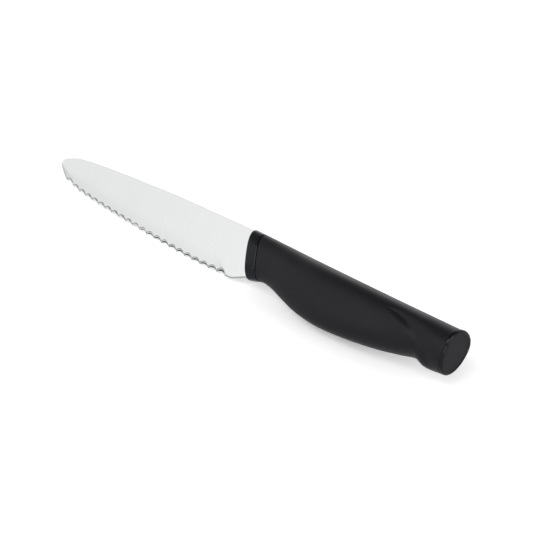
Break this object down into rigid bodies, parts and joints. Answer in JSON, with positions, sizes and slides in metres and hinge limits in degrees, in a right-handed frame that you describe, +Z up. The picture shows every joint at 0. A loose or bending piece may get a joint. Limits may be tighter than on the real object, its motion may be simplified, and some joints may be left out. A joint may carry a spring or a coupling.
{
  "type": "serrated utility knife",
  "caption": "Kitchen utility knife with a rounded tip, a scalloped edge ground on the left face and a moulded black handle, for slicing tomatoes, rolls and sandwiches.",
  "frame": {"origin": "middle of the footprint, on the table that the knife rests on", "axes": "+X along the knife from the tip to the butt, +Z up from the table; the handle's belly touches the table, the edge lies just clear of it, and the knife leans back by 33 degrees, spine towards +Y, so that its left face looks towards -Y and up"},
  "size_m": [0.2732, 0.025, 0.0274],
  "materials": {
    "blade_steel": "satin, finely ground",
    "pin_steel": "plain drawn steel",
    "collar_plastic": "polished black",
    "cap_plastic": "semi-gloss black",
    "grip_rubber": "soft matt black",
    "core_plastic": "plain moulded black"
  },
  "bodies": {
    "root": {"blade": "blade_steel", "collar": "collar_plastic", "core_left": "core_plastic", "core_right": "core_plastic", "tang_pin_front": "pin_steel", "tang_pin_rear": "pin_steel", "grip": "grip_rubber", "end_cap": "cap_plastic"}
  },
  "joints": []
}
